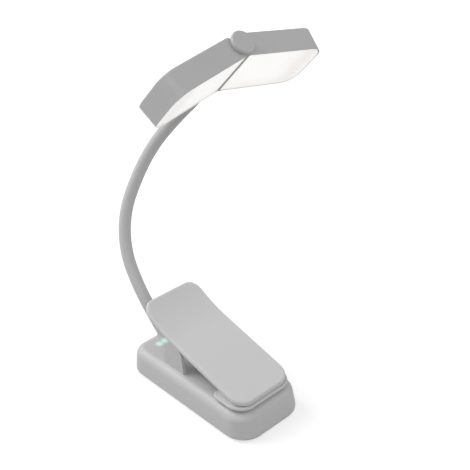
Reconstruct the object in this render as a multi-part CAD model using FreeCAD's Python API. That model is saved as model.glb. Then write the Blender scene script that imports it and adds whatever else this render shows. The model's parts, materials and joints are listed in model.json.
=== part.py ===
import FreeCAD, Part
import math
import os

Vec = FreeCAD.Vector

# Sizes are millimetres and degrees. The origin is the middle of the base's underside,
# the jaw end of the base is towards -Y, and +Z is up.

# Base: a low rounded box in two mouldings, a shell over a tray
base_length = 109.5
base_width = 55.5
base_corner = 15.2
base_rear_corner = 12.0
base_height = 18.0
side_lean = 1.6
front_lean = 3.6
rear_lean = 0.8
top_round = 6.0
tray_edge_round = 2.0
foot_height = 0.6
tray_height = 3.0
tray_floor = 1.8
wall = 2.0
slip_clearance = 0.15
glue_clearance = 0.05

# Foot pad and cover screws
foot_half_width = 23.0
foot_end_inset = 17.75
foot_corner = 8.0
foot_sink = 0.4
screw_spread_x = 17.5
screw_end_inset = 11.75
screw_radius = 1.0
screw_head_radius = 1.9
screw_head_height = 1.0
screw_length = 8.0
boss_radius = 2.8

# What the base holds
battery_width = 34.0
battery_end_inset = 16.25
battery_height = 10.0
battery_round = 2.5
battery_gap = 2.5
board_thickness = 1.2
board_lift = 1.8
board_front = 14.0
board_shoulder_gap = 2.2
board_end_inset = 8.75
board_half_width = 20.0
board_tail_half_width = 13.5
post_radius = 1.6
post_inset = 3.0

# Charging socket in the right wall
socket_width = 8.94
socket_height = 3.26
socket_depth = 7.0
socket_skin = 0.3
socket_sink = 0.4
socket_y = 24.0
tongue_width = 6.7
tongue_thickness = 0.7
tongue_length = 5.0

# Power button over its switch, and the two charge lights
button_x = 10.5
button_end_inset = 15.25
button_radius = 4.0
button_proud = 0.9
button_travel = 0.8
button_edge = 0.5
button_flange = 1.0
button_flange_height = 1.0
button_stem_radius = 1.5
switch_width = 6.0
switch_height = 3.5
switch_plunger_radius = 1.6
switch_plunger_height = 0.6
stop_gap = 0.1
light_x = -10.9
light_end_inset = 12.35
light_pitch = 4.6
light_radius = 1.4
led_chip_length = 1.6
led_chip_width = 1.2
led_chip_height = 0.7

# Clip lever: a cover plate that runs up from the jaw and curls up at the finger end
lever_half_width = 22.6
lever_front_inset = 7.65
lever_rear_inset = 10.2
lever_corner = 10.2
lever_rear_corner = 8.0
lever_front_height = 24.9
lever_slope = 14.6
lever_thickness = 3.0
lever_edge_round = 1.4
lever_under_round = 0.5
curl_start = 12.0
curl_radius = 95.0

# Jaw under the lever's front, with a lip that stands proud of the lever, and a pad on each jaw
lip_proud = 1.4
lip_edge_round = 0.7
wedge_inset = 1.5
jaw_length = 26.5
jaw_rear_corner = 5.0
jaw_height = 1.6
pad_inset = 3.5
pad_corner = 6.0
upper_pad_thickness = 1.2
lower_pad_thickness = 0.9
lower_pad_proud = 0.2
lower_pad_half_width = 16.5
lower_pad_end_inset = 10.75

# Clip hinge: ears on the base, lugs on the lever, one pin and one torsion spring
pivot_end_inset = 38.75
pivot_z = 28.5
pin_radius = 1.5
pin_clearance = 0.06
pin_skin = 0.8
ear_outside = 21.0
ear_thickness = 2.5
ear_radius = 8.0
ear_foot_half = 9.5
lug_thickness = 2.8
lug_radius = 5.0
lug_foot_half = 8.0
side_play = 0.3
spring_coil_radius = 2.9
spring_wire_radius = 0.6
spring_pitch = 1.8
spring_turns = 5
spring_reach = 17.0
spring_rest_gap = 0.3

# Flexible arm: equal lengths of sleeved core, each with the bend that the pose gives it
arm_root_inset = 6.25
arm_root_z = 15.5
arm_root_angle = 42.0
arm_step = 26.0
arm_fore_angles = (3, 7, 16, 18, 14, 16, 12, 4)
arm_side_angles = (1, 5, 13, 12, 1, 3, -5, -8)
sleeve_radius = 4.2
sleeve_bore = 3.0
core_radius = 2.3
core_ball_radius = 1.8
core_ball_play = 0.05
core_neck = 1.1
core_cup_setback = 0.6
root_boss_radius = 5.5
root_boss_inside = 3.0
root_boss_outside = 3.5
sleeve_clearance = 0.1

# Head: two wings on one spine, which carries on from the arm
head_roll_angle = 29.3
wing_droop_angle = 9.7
wing_width = 39.5
wing_length = 65.2
wing_thickness = 16.0
wing_corner = 10.4
wing_edge_round = 1.0
wing_wall = 2.2
wing_back_wall = 1.6
rim = 0.7
light_side_slope = 11.0
back_side_slope = 37.0
hinge_gap = 0.25
barrel_radius = 4.5
barrel_clearance = 0.3
barrel_wall = 2.0
spine_radius = 2.5
spine_clearance = 0.05
cap_thickness = 2.6
cap_grip = 1.4
cap_edge = 0.9
collar_radius = 5.4
collar_length = 5.5
collar_grip = 3.0
diffuser_thickness = 2.0
diffuser_sink = 0.3
diffuser_round = 0.4
diffuser_inner_corner = 1.0
cavity_corner = 2.0
led_board_clearance = 0.3
led_size = 3.0
led_height = 0.9
led_columns = 5
led_rows = 2
led_margin = 7.0
reflector_foot = 3.4
reflector_lip = 1.0

# Values that follow from the driving sizes
base_end = base_length / 2
foot_half_length = base_end - foot_end_inset
screw_spread_y = base_end - screw_end_inset
board_rear = base_end - board_end_inset
board_shoulder = screw_spread_y - boss_radius - board_shoulder_gap
battery_front = battery_end_inset - base_end
battery_rear = board_front - battery_gap
button_y = base_end - button_end_inset
light_y = base_end - light_end_inset
lever_front = lever_front_inset - base_end
lever_rear = base_end - lever_rear_inset
jaw_rear = lever_front - lip_proud + jaw_length
pivot_y = base_end - pivot_end_inset
pin_end = ear_outside - pin_skin
arm_root_y = base_end - arm_root_inset
seam_z = foot_height + tray_height
floor_z = foot_height + tray_floor
ceiling_z = base_height - wall
board_z = floor_z + board_lift
board_top = board_z + board_thickness
lever_slope_radians = math.radians(lever_slope)
curl_start_z = lever_front_height + (curl_start - lever_front) * math.tan(lever_slope_radians)
curl_center_y = curl_start - curl_radius * math.sin(lever_slope_radians)
curl_center_z = curl_start_z + curl_radius * math.cos(lever_slope_radians)
jaw_bottom = base_height + jaw_height
lower_pad_front = lower_pad_end_inset - base_end
lower_pad_rear = jaw_rear - pad_inset
arm_count = len(arm_fore_angles)
half_thickness = wing_thickness / 2
touch = 1e-4


def level(z):
    """Placer of flat outlines in a level plane."""
    return lambda u, v: Vec(u, v, z)


def upright(x):
    """Placer of flat outlines in a plane square to X, drawn in Y and Z."""
    return lambda u, v: Vec(x, u, v)


def across(y):
    """Placer of flat outlines in a plane square to Y, drawn in X and Z."""
    return lambda u, v: Vec(u, y, v)


def outline(corners, place):
    """Closed wire through corners given as (u, v, radius), each rounded by its radius."""
    starts = []
    edges = []
    count = len(corners)
    for index, (u, v, radius) in enumerate(corners):
        before = corners[index - 1]
        after = corners[(index + 1) % count]
        here = Vec(u, v, 0)
        back = (Vec(before[0], before[1], 0) - here).normalize()
        ahead = (Vec(after[0], after[1], 0) - here).normalize()
        half_angle = back.getAngle(ahead) / 2
        reach = radius / math.tan(half_angle)
        into = (back + ahead).normalize()
        center = here + into * (radius / math.sin(half_angle))
        starts.append((here + back * reach, center - into * radius, here + ahead * reach, radius))
    for index, (enter, middle, leave, radius) in enumerate(starts):
        if radius > 0:
            arc = Part.Arc(place(enter.x, enter.y), place(middle.x, middle.y), place(leave.x, leave.y))
            edges.append(arc.toShape())
        following = starts[(index + 1) % count][0]
        if leave.distanceToPoint(following) > touch:
            edges.append(Part.makeLine(place(leave.x, leave.y), place(following.x, following.y)))
    return Part.Wire(Part.__sortEdges__(edges))


def rectangle(x_low, x_high, y_low, y_high, radius):
    """Corners of a rectangle with one corner radius, in turning order."""
    return [(x_low, y_low, radius), (x_high, y_low, radius),
            (x_high, y_high, radius), (x_low, y_high, radius)]


def slab(corners, z_low, z_high):
    """Upright prism on an outline."""
    return Part.Face(outline(corners, level(z_low))).extrude(Vec(0, 0, z_high - z_low))


def box(x_low, x_high, y_low, y_high, z_low, z_high):
    """Plain block between two corners."""
    return Part.makeBox(x_high - x_low, y_high - y_low, z_high - z_low, Vec(x_low, y_low, z_low))


def post(radius, x, y, z_low, z_high):
    """Upright cylinder."""
    return Part.makeCylinder(radius, z_high - z_low, Vec(x, y, z_low))


def rod(radius, start, end):
    """Cylinder between two points."""
    return Part.makeCylinder(radius, start.distanceToPoint(end), start, end - start)


def edges_at_height(shape, z):
    """Edges that lie wholly in one level plane."""
    return [edge for edge in shape.Edges
            if abs(edge.BoundBox.ZMin - z) < touch and abs(edge.BoundBox.ZMax - z) < touch]


def lean_at(z, lean):
    """How far a leaning wall stands in from the base's widest outline at a height."""
    return lean * (z - seam_z) / (base_height - seam_z)


def base_outline(inset, z):
    """Plan of the base at a height, drawn in from its leaning walls."""
    side_in = inset + lean_at(z, side_lean)
    half_x = base_width / 2 - side_in
    front = inset + lean_at(z, front_lean) - base_end
    rear = base_end - inset - lean_at(z, rear_lean)
    front_corner = base_corner - side_in
    rear_corner = base_rear_corner - side_in
    return [(-half_x, front, front_corner), (half_x, front, front_corner),
            (half_x, rear, rear_corner), (-half_x, rear, rear_corner)]


def four_corners(x, y):
    """The four places at plus and minus x and y."""
    return [(x, y), (-x, y), (-x, -y), (x, -y)]


def lug(radius, foot_front, foot_rear, x_low, x_high):
    """Flat lug that tapers from two foot points to a round end about the clip's pivot."""
    center = Vec(x_low, pivot_y, pivot_z)
    front = Vec(x_low, foot_front[0], foot_front[1])
    rear = Vec(x_low, foot_rear[0], foot_rear[1])

    def tangent_point(foot, other):
        offset = foot - center
        turn = math.acos(radius / offset.Length)
        aim = math.atan2(offset.z, offset.y)
        choices = [center + Vec(0, math.cos(a), math.sin(a)) * radius for a in (aim + turn, aim - turn)]
        return max(choices, key=lambda point: point.distanceToPoint(other))

    tangent_front = tangent_point(front, rear)
    tangent_rear = tangent_point(rear, front)
    crown = center + (center - (front + rear) * 0.5).normalize() * radius
    edges = [
        Part.makeLine(front, tangent_front),
        Part.Arc(tangent_front, crown, tangent_rear).toShape(),
        Part.makeLine(tangent_rear, rear),
        Part.makeLine(rear, front),
    ]
    return Part.Face(Part.Wire(edges)).extrude(Vec(x_high - x_low, 0, 0))


# The lever's underside as a height, which the lugs, the jaw and the spring share
def lever_under(y):
    """Height of the lever plate's underside at a place along the lever."""
    if y <= curl_start:
        top = lever_front_height + (y - lever_front) * math.tan(lever_slope_radians)
        return top - lever_thickness / math.cos(lever_slope_radians)
    return curl_center_z - math.sqrt((curl_radius + lever_thickness) ** 2 - (y - curl_center_y) ** 2)


# Frames along the arm, found once and used by the core, the sleeve, the joints and the head
def turned(vector, axis, angle):
    """A vector turned about an axis through the origin by an angle in degrees."""
    return FreeCAD.Rotation(axis, angle).multVec(vector)


def arm_lengths():
    """Start, direction, bend axis and bend of each length of the arm, and the frame at its end."""
    rise = math.radians(arm_root_angle)
    point = Vec(0, arm_root_y, arm_root_z)
    ahead = Vec(0, math.cos(rise), math.sin(rise))
    side = Vec(1, 0, 0)
    lengths = []
    for fore_angle, side_angle in zip(arm_fore_angles, arm_side_angles):
        axis = side * fore_angle + ahead.cross(side) * side_angle
        bend = axis.Length
        axis.normalize()
        lengths.append((point, ahead, side, axis, bend))
        point = along(point, ahead, axis, bend, arm_step)
        ahead = turned(ahead, axis, bend)
        side = turned(side, axis, bend)
    return lengths, point, ahead, side


def along(point, ahead, axis, bend, distance):
    """The point at a distance along one bent length of the arm."""
    radius = arm_step / math.radians(bend)
    center = point + axis.cross(ahead) * radius
    return center + turned(point - center, axis, bend * distance / arm_step)


def tube_along(length, outer, inner, begin, finish):
    """Round tube, or rod where the inner radius is nothing, along part of one bent length."""
    point, ahead, side, axis, bend = length
    radius = arm_step / math.radians(bend)
    center = point + axis.cross(ahead) * radius
    start = along(point, ahead, axis, bend, begin)
    facing = turned(ahead, axis, bend * begin / arm_step)
    section = Part.Face(Part.Wire(Part.makeCircle(outer, start, facing)))
    if inner > 0:
        section = section.cut(Part.Face(Part.Wire(Part.makeCircle(inner, start, facing))))
    return section.revolve(center, axis, bend * (finish - begin) / arm_step)


arm, arm_end, arm_end_ahead, arm_end_side = arm_lengths()

# Each length bends at its middle, by turns up and down and from side to side
arm_joints = []
for number, (point, ahead, side, axis, bend) in enumerate(arm):
    joint_point = along(point, ahead, axis, bend, arm_step / 2)
    joint_ahead = turned(ahead, axis, bend / 2)
    joint_side = turned(side, axis, bend / 2)
    joint_axis = joint_side if number % 2 == 0 else joint_ahead.cross(joint_side)
    arm_joints.append((joint_point, joint_axis))

# Head frame: X across the wings, Y along the spine towards its free end, Z to the lit side
head_y = arm_end_ahead
head_x = turned(arm_end_side, arm_end_ahead, head_roll_angle)
head_z = head_x.cross(head_y)
head_origin = arm_end + head_y * collar_grip
head_matrix = FreeCAD.Matrix(
    head_x.x, head_y.x, head_z.x, head_origin.x,
    head_x.y, head_y.y, head_z.y, head_origin.y,
    head_x.z, head_y.z, head_z.z, head_origin.z,
    0, 0, 0, 1)


def in_head(shape, droop=0.0):
    """Moves a shape drawn in the head frame to its place, turned about the spine first."""
    shape.rotate(Vec(0, 0, 0), Vec(0, 1, 0), droop)
    return shape.transformShape(head_matrix, True)


def base_cover():
    """Tray that closes the base from below, with posts for the board and holes for the screws."""
    tray = slab(base_outline(0, seam_z), foot_height, seam_z)
    tray = tray.makeFillet(tray_edge_round, edges_at_height(tray, foot_height))
    tray = tray.cut(slab(base_outline(wall, seam_z), floor_z, seam_z))
    for x, y in board_posts():
        tray = tray.fuse(post(post_radius, x, y, floor_z - tray_floor / 2, board_z))
    for x, y in four_corners(screw_spread_x, screw_spread_y):
        tray = tray.cut(post(screw_radius + slip_clearance, x, y, foot_height, floor_z))
        head_top = foot_height + screw_head_height
        tray = tray.cut(post(screw_head_radius + slip_clearance, x, y, foot_height, head_top))
    return tray.cut(foot_pad()).removeSplitter()


def board_posts():
    """Places of the posts under the control board."""
    x = board_half_width - post_inset
    return [(x, board_front + post_inset), (-x, board_front + post_inset),
            (x, board_shoulder - post_inset), (-x, board_shoulder - post_inset)]


def foot_pad():
    """Soft sheet under the base, let into the tray."""
    corners = rectangle(-foot_half_width, foot_half_width, -foot_half_length, foot_half_length, foot_corner)
    return slab(corners, 0, foot_height + foot_sink)


def cover_screws():
    """Screws from below, through the tray into the shell's bosses."""
    screws = []
    for x, y in four_corners(screw_spread_x, screw_spread_y):
        head = post(screw_head_radius, x, y, foot_height, foot_height + screw_head_height)
        shank = post(screw_radius, x, y, foot_height, foot_height + screw_length)
        screws.append(head.fuse(shank).removeSplitter())
    return Part.makeCompound(screws)


def hollow_base():
    """Leaning outer wall with a rounded top, hollowed to an even wall."""
    bottom = outline(base_outline(0, seam_z), level(seam_z))
    top = outline(base_outline(0, base_height), level(base_height))
    outside = Part.makeLoft([bottom, top], True, True)
    outside = outside.makeFillet(top_round, edges_at_height(outside, base_height))
    inner_bottom = outline(base_outline(wall, seam_z), level(seam_z))
    inner_top = outline(base_outline(wall, ceiling_z), level(ceiling_z))
    inside = Part.makeLoft([inner_bottom, inner_top], True, True)
    inside = inside.makeFillet(top_round - wall, edges_at_height(inside, ceiling_z))
    return outside.cut(inside)


def base_shell():
    """Top moulding of the base: walls, screw bosses, clip ears and the arm's root boss."""
    shell = hollow_base()
    for x, y in four_corners(screw_spread_x, screw_spread_y):
        shell = shell.fuse(post(boss_radius, x, y, floor_z, ceiling_z + wall / 4))
        screw_top = foot_height + screw_length
        shell = shell.cut(post(screw_radius + glue_clearance, x, y, floor_z, screw_top))
    ear_foot_z = ceiling_z + wall / 4
    for x_low in (-ear_outside, ear_outside - ear_thickness):
        front_foot = (pivot_y - ear_foot_half, ear_foot_z)
        rear_foot = (pivot_y + ear_foot_half, ear_foot_z)
        shell = shell.fuse(lug(ear_radius, front_foot, rear_foot, x_low, x_low + ear_thickness))
    shell = shell.cut(pin_rod(pin_radius + glue_clearance / 2))
    root, root_ahead = arm[0][0], arm[0][1]
    shell = shell.fuse(rod(root_boss_radius, root - root_ahead * root_boss_inside,
                           root + root_ahead * root_boss_outside))
    shell = shell.cut(rod(sleeve_radius + sleeve_clearance, root, root + root_ahead * root_boss_outside))
    shell = shell.cut(post(button_radius + slip_clearance, button_x, button_y, ceiling_z, base_height))
    for x in (light_x, light_x + light_pitch):
        shell = shell.cut(post(light_radius + glue_clearance, x, light_y, ceiling_z, base_height))
    shell = shell.cut(lower_jaw_pad())
    shell = shell.cut(socket_block(slip_clearance, base_width / 2))
    return shell.removeSplitter()


def pin_rod(radius):
    """Cylinder on the clip's axis that ends inside the ears, so that no pin shows from outside."""
    return rod(radius, Vec(-pin_end, pivot_y, pivot_z), Vec(pin_end, pivot_y, pivot_z))


def socket_block(clearance, x_mouth):
    """Rounded block on the socket's outline, grown by a clearance and ending at its mouth."""
    half_width = socket_width / 2 + clearance
    z_low = board_top - clearance
    z_high = board_top + socket_height + clearance
    radius = (z_high - z_low) / 2
    corners = [(socket_y - half_width, z_low, radius), (socket_y + half_width, z_low, radius),
               (socket_y + half_width, z_high, radius), (socket_y - half_width, z_high, radius)]
    x_inner = socket_mouth() - socket_depth
    return Part.Face(outline(corners, upright(x_inner))).extrude(Vec(x_mouth - x_inner, 0, 0))


def socket_mouth():
    """Where the socket's mouth stands, just inside the leaning wall."""
    return base_width / 2 - lean_at(board_top + socket_height, side_lean) - socket_sink


def usb_socket():
    """Pressed metal shell of the charging socket, closed at its back."""
    mouth = socket_mouth()
    hollow = socket_block(-socket_skin, mouth)
    hollow.translate(Vec(socket_skin, 0, 0))
    return socket_block(0, mouth).cut(hollow)


def usb_tongue():
    """Contact tongue inside the charging socket."""
    back = socket_mouth() - socket_depth + socket_skin
    middle = board_top + socket_height / 2
    return box(back, back + tongue_length, socket_y - tongue_width / 2, socket_y + tongue_width / 2,
               middle - tongue_thickness / 2, middle + tongue_thickness / 2)


def battery():
    """Flat lithium cell on the tray's floor."""
    half = battery_width / 2
    corners = rectangle(-half, half, battery_front, battery_rear, battery_round)
    return slab(corners, floor_z, floor_z + battery_height)


def control_board():
    """Charging and dimming board on the tray's posts, narrower between the rear bosses."""
    wide, narrow = board_half_width, board_tail_half_width
    corners = [(-wide, board_front, 0), (wide, board_front, 0), (wide, board_shoulder, 0),
               (narrow, board_shoulder, 0), (narrow, board_rear, 0), (-narrow, board_rear, 0),
               (-narrow, board_shoulder, 0), (-wide, board_shoulder, 0)]
    return slab(corners, board_z, board_top)


def tact_switch():
    """Push switch under the button."""
    half = switch_width / 2
    body_top = board_top + switch_height
    body = box(button_x - half, button_x + half, button_y - half, button_y + half, board_top, body_top)
    plunger = post(switch_plunger_radius, button_x, button_y, body_top, body_top + switch_plunger_height)
    return body.fuse(plunger)


def power_button():
    """Round cap in the top of the base, kept in by a flange and pressing through a stem."""
    top = base_height + button_proud
    flange_top = ceiling_z - stop_gap
    cap = post(button_radius, button_x, button_y, flange_top - button_flange_height, top)
    cap = cap.makeFillet(button_edge, edges_at_height(cap, top))
    flange = post(button_radius + button_flange, button_x, button_y,
                  flange_top - button_flange_height, flange_top)
    stem_end = board_top + switch_height + switch_plunger_height + button_travel + stop_gap
    stem = post(button_stem_radius, button_x, button_y, stem_end, flange_top)
    return cap.fuse(flange).fuse(stem).removeSplitter()


def charge_leds():
    """Two small lamps on the board, under the light pipes."""
    chips = []
    for x in (light_x, light_x + light_pitch):
        chips.append(box(x - led_chip_length / 2, x + led_chip_length / 2,
                         light_y - led_chip_width / 2, light_y + led_chip_width / 2,
                         board_top, board_top + led_chip_height))
    return Part.makeCompound(chips)


def light_pipes():
    """Clear rods that show the charge lights on top of the base."""
    pipes = [post(light_radius, x, light_y, board_top + led_chip_height + stop_gap, base_height)
             for x in (light_x, light_x + light_pitch)]
    return Part.makeCompound(pipes)


def lower_jaw_pad():
    """Soft pad let into the top of the base under the jaw."""
    pad_top = base_height + lower_pad_proud
    half = lower_pad_half_width
    corners = rectangle(-half, half, lower_pad_front, lower_pad_rear, pad_corner)
    return slab(corners, pad_top - lower_pad_thickness, pad_top)


def lever_plan(inset, rear, rear_corner):
    """Plan of the lever, drawn in by an inset and ending at a place along it."""
    half = lever_half_width - inset
    front = lever_front + inset
    corner = lever_corner - inset
    return [(-half, front, corner), (half, front, corner),
            (half, rear, rear_corner), (-half, rear, rear_corner)]


def lever_sheet():
    """The lever's even thickness, straight from the jaw and then curling up, before it is cut to plan."""
    spare = 2 * lever_thickness
    slope, thick = lever_slope_radians, lever_thickness
    fall = Vec(0, math.sin(slope), -math.cos(slope)) * thick
    front_y = lever_front - spare
    front = Vec(-lever_half_width, front_y, lever_front_height - spare * math.tan(slope))
    bend = Vec(-lever_half_width, curl_start, curl_start_z)
    center = Vec(-lever_half_width, curl_center_y, curl_center_z)
    last = math.asin((lever_rear + spare - curl_center_y) / curl_radius)
    middle = (slope + last) / 2
    under = curl_radius + thick

    def on_curl(angle, radius):
        return center + Vec(0, math.sin(angle), -math.cos(angle)) * radius

    edges = [
        Part.makeLine(front, bend),
        Part.Arc(bend, on_curl(middle, curl_radius), on_curl(last, curl_radius)).toShape(),
        Part.makeLine(on_curl(last, curl_radius), on_curl(last, under)),
        Part.Arc(on_curl(last, under), on_curl(middle, under), bend + fall).toShape(),
        Part.makeLine(bend + fall, front + fall),
        Part.makeLine(front + fall, front),
    ]
    return Part.Face(Part.Wire(edges)).extrude(Vec(2 * lever_half_width, 0, 0))


def lever_plate():
    """Cover plate of the clip with rounded edges, and the two lugs that hang from it."""
    plan = slab(lever_plan(0, lever_rear, lever_rear_corner), 0, 2 * curl_start_z)
    plate = lever_sheet().common(plan)
    plate = plate.makeFillet(lever_edge_round, lever_rim(plate, True))
    plate = plate.makeFillet(lever_under_round, lever_rim(plate, False))
    foot_sunk = lever_thickness / 2
    for x_low in (ear_outside - ear_thickness - side_play - lug_thickness,
                  -ear_outside + ear_thickness + side_play):
        feet = [(y, lever_under(y) + foot_sunk) for y in (pivot_y - lug_foot_half, pivot_y + lug_foot_half)]
        plate = plate.fuse(lug(lug_radius, feet[0], feet[1], x_low, x_low + lug_thickness))
    return plate.cut(pin_rod(pin_radius + pin_clearance)).removeSplitter()


def lever_rim(plate, upper):
    """Edges around the lever plate's top or underside, without its upright ones and the lines of its curl."""
    rim_edges = []
    for edge in plate.Edges:
        middle = edge.valueAt((edge.FirstParameter + edge.LastParameter) / 2)
        past_straight = abs(middle.x) > lever_half_width - lever_corner
        at_end = middle.y < lever_front + lever_corner or middle.y > lever_rear - lever_rear_corner
        above = middle.z - lever_under(middle.y)
        on_face = above > lever_thickness if upper else abs(above) < touch
        if edge.Length > lever_rear_corner and (past_straight or at_end) and on_face:
            rim_edges.append(edge)
    return rim_edges


def upper_jaw():
    """Level lip that closes against the base, and the wedge between it and the lever's underside."""
    lip_top = lever_under(lever_front)
    lip = slab(lever_plan(-lip_proud, jaw_rear, jaw_rear_corner), jaw_bottom, lip_top)
    lip = lip.makeFillet(lip_edge_round, edges_at_height(lip, jaw_bottom) + edges_at_height(lip, lip_top))
    side = [(lever_front, jaw_bottom, 0), (jaw_rear, jaw_bottom, 0), (jaw_rear, lever_under(jaw_rear), 0),
            (lever_front, lip_top, 0)]
    wedge = Part.Face(outline(side, upright(-lever_half_width))).extrude(Vec(2 * lever_half_width, 0, 0))
    plan = lever_plan(wedge_inset, jaw_rear - wedge_inset, jaw_rear_corner)
    wedge = wedge.common(slab(plan, jaw_bottom + lip_edge_round, lever_under(jaw_rear)))
    return lip.fuse(wedge).removeSplitter()


def upper_jaw_pad():
    """Soft pad under the upper jaw, set in from its edge so that a dark groove shows."""
    half = lever_half_width + lip_proud - pad_inset
    corners = rectangle(-half, half, lever_front - lip_proud + pad_inset, jaw_rear - pad_inset, pad_corner)
    return slab(corners, jaw_bottom - upper_pad_thickness, jaw_bottom)


def clip_pin():
    """Steel pin through the lugs, sprung into blind holes in the ears."""
    return pin_rod(pin_radius)


def arc_towards(start, heading, end):
    """Arc that leaves one point along a heading and ends at another point."""
    chord = end - start
    lift = heading - chord * (heading.dot(chord) / chord.dot(chord))
    angle = heading.getAngle(chord)
    rise = chord.Length / 2 * math.tan(angle / 2)
    return Part.Arc(start, (start + end) * 0.5 + lift.normalize() * rise, end).toShape()


def biarc(start, heading, end, end_heading):
    """Two arcs that share a heading where they meet and keep the headings at both ends."""
    chord = end - start
    total = heading + end_heading
    square = 2 * (1 - heading.dot(end_heading))
    along_total = chord.dot(total)
    reach = (math.sqrt(along_total ** 2 + square * chord.dot(chord)) - along_total) / square
    join = (start + end + (heading - end_heading) * reach) * 0.5
    join_heading = (join - start) - heading * reach
    return [arc_towards(start, heading, join), arc_towards(join, join_heading.normalize(), end)]


def clip_spring():
    """Torsion spring on the pin, with one leg on the base and one under the lever's finger end."""
    reach_y = pivot_y + spring_reach
    stand_off = spring_wire_radius + spring_rest_gap
    low_target = (spring_reach, base_height + stand_off - pivot_z)
    under_slope = math.atan2(lever_under(reach_y + stand_off) - lever_under(reach_y), stand_off)
    high_target = (spring_reach, lever_under(reach_y) - stand_off / math.cos(under_slope) - pivot_z)

    def leg(target, sign):
        distance = math.hypot(target[0], target[1])
        angle = math.atan2(target[1], target[0]) + sign * math.acos(spring_coil_radius / distance)
        return angle, math.sqrt(distance ** 2 - spring_coil_radius ** 2)

    first, low_leg = leg(low_target, 1)
    last, high_leg = leg(high_target, -1)
    full_turn = 2 * math.pi
    last += full_turn * (spring_turns + math.ceil((first - last) / full_turn))
    advance = spring_pitch / full_turn
    x_start = -advance * (last - first) / 2

    def on_coil(angle):
        across_x = x_start + advance * (angle - first)
        return Vec(across_x, pivot_y + spring_coil_radius * math.cos(angle),
                   pivot_z + spring_coil_radius * math.sin(angle))

    def heading(angle):
        outward = Vec(0, math.cos(angle), math.sin(angle))
        return (Vec(1, 0, 0) * advance + Vec(1, 0, 0).cross(outward) * spring_coil_radius).normalize()

    stretch = math.hypot(advance, spring_coil_radius) / spring_coil_radius
    low_end = on_coil(first) - heading(first) * (low_leg * stretch)
    high_end = on_coil(last) + heading(last) * (high_leg * stretch)
    quarters = round((last - first) / (math.pi / 2))
    step = (last - first) / quarters
    edges = [Part.makeLine(low_end, on_coil(first))]
    for quarter in range(quarters):
        begin = first + quarter * step
        edges += biarc(on_coil(begin), heading(begin), on_coil(begin + step), heading(begin + step))
    edges.append(Part.makeLine(on_coil(last), high_end))
    path = Part.Wire(edges)
    circle = Part.Wire(Part.makeCircle(spring_wire_radius, low_end, heading(first)))
    print("spring: least gap to itself %.2f mm" % least_self_gap(path))
    return path.makePipeShell([circle], True, False)


def least_self_gap(path):
    """Smallest free gap between parts of the wire that aren't neighbours along it."""
    points = path.discretize(Distance=spring_wire_radius)
    neighbours = math.ceil(math.pi * spring_coil_radius / (2 * spring_wire_radius))
    gaps = [points[i].distanceToPoint(points[j]) for i in range(len(points))
            for j in range(i + neighbours, len(points))]
    return min(gaps) - 2 * spring_wire_radius


def arm_sleeve(number):
    """One length of the soft sleeve, from the middle of one stiff stretch to the next."""
    return tube_along(arm[number], sleeve_radius, sleeve_bore, 0, arm_step)


def core_link(number):
    """Bendable core between two bends: a ball in the cup of the link before, and a cup for the next."""
    middle = arm_step / 2
    pieces = []
    if number > 0:
        pieces.append(tube_along(arm[number - 1], core_radius, 0, middle + core_neck, arm_step))
        pieces.append(Part.makeSphere(core_ball_radius, arm_joints[number - 1][0]))
    if number < arm_count:
        pieces.append(tube_along(arm[number], core_radius, 0, 0, middle - core_cup_setback))
    link = pieces[0].multiFuse(pieces[1:]) if len(pieces) > 1 else pieces[0]
    if number < arm_count:
        link = link.cut(Part.makeSphere(core_ball_radius + core_ball_play, arm_joints[number][0]))
    return link.removeSplitter()


def head_spine():
    """Turned shaft that the wings turn on, with the collar that grips the end of the sleeve."""
    shaft = rod(spine_radius, Vec(0, -collar_grip, 0), Vec(0, wing_width + hinge_gap + cap_grip, 0))
    collar_start = Vec(0, -hinge_gap - collar_length, 0)
    collar = rod(collar_radius, collar_start, Vec(0, -hinge_gap, 0))
    grip = rod(sleeve_radius + sleeve_clearance, collar_start, Vec(0, -collar_grip, 0))
    return in_head(collar.cut(grip).fuse(shaft).removeSplitter())


def hinge_cap():
    """Round cap on the spine's free end, as wide as the wings are thick."""
    inner = wing_width + hinge_gap
    cap = rod(half_thickness, Vec(0, inner, 0), Vec(0, inner + cap_thickness, 0))
    outer_edges = [edge for edge in cap.Edges
                   if edge.Closed and abs(edge.CenterOfMass.y - inner - cap_thickness) < touch]
    cap = cap.makeFillet(cap_edge, outer_edges)
    cap = cap.cut(rod(spine_radius + glue_clearance, Vec(0, inner, 0), Vec(0, inner + cap_grip, 0)))
    return in_head(cap)


def knuckles(hand):
    """Stretches of the spine that a wing's knuckles turn on, two outer ones and one between them."""
    third = wing_width / 3
    if hand > 0:
        return [(0, third), (wing_width - third, wing_width)]
    return [(third + hinge_gap, wing_width - third - hinge_gap)]


def wing_plan(hand, x_low, inset, inner_corner):
    """Plan of a wing, or of something drawn in from its edges, on the right or the left of the spine."""
    x_high = wing_length - inset
    corner = wing_corner - inset
    corners = [(x_low, inset, inner_corner), (x_high, inset, corner),
               (x_high, wing_width - inset, corner), (x_low, wing_width - inset, inner_corner)]
    return [(hand * x, y, radius) for x, y, radius in corners]


def hinge_side(hand):
    """Space that a wing's hinge end leaves free, so that the wings fold towards either side."""
    spare = wing_thickness
    light_x_end = hinge_gap + spare * math.tan(math.radians(light_side_slope))
    back_x_end = hinge_gap + spare * math.tan(math.radians(back_side_slope))
    corners = [(hinge_gap, 0, 0), (light_x_end, spare, 0), (-spare, spare, 0), (-spare, -spare, 0),
               (back_x_end, -spare, 0)]
    corners = [(hand * x, z, radius) for x, z, radius in corners]
    return Part.Face(outline(corners, across(0))).extrude(Vec(0, wing_width, 0))


def diffuser_edge():
    """Where the diffuser begins, measured out from the spine."""
    return hinge_gap + half_thickness * math.tan(math.radians(light_side_slope)) + rim


def cavity_edge():
    """Where the wing's hollow begins, measured out from the spine."""
    return barrel_radius + barrel_clearance + barrel_wall


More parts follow.
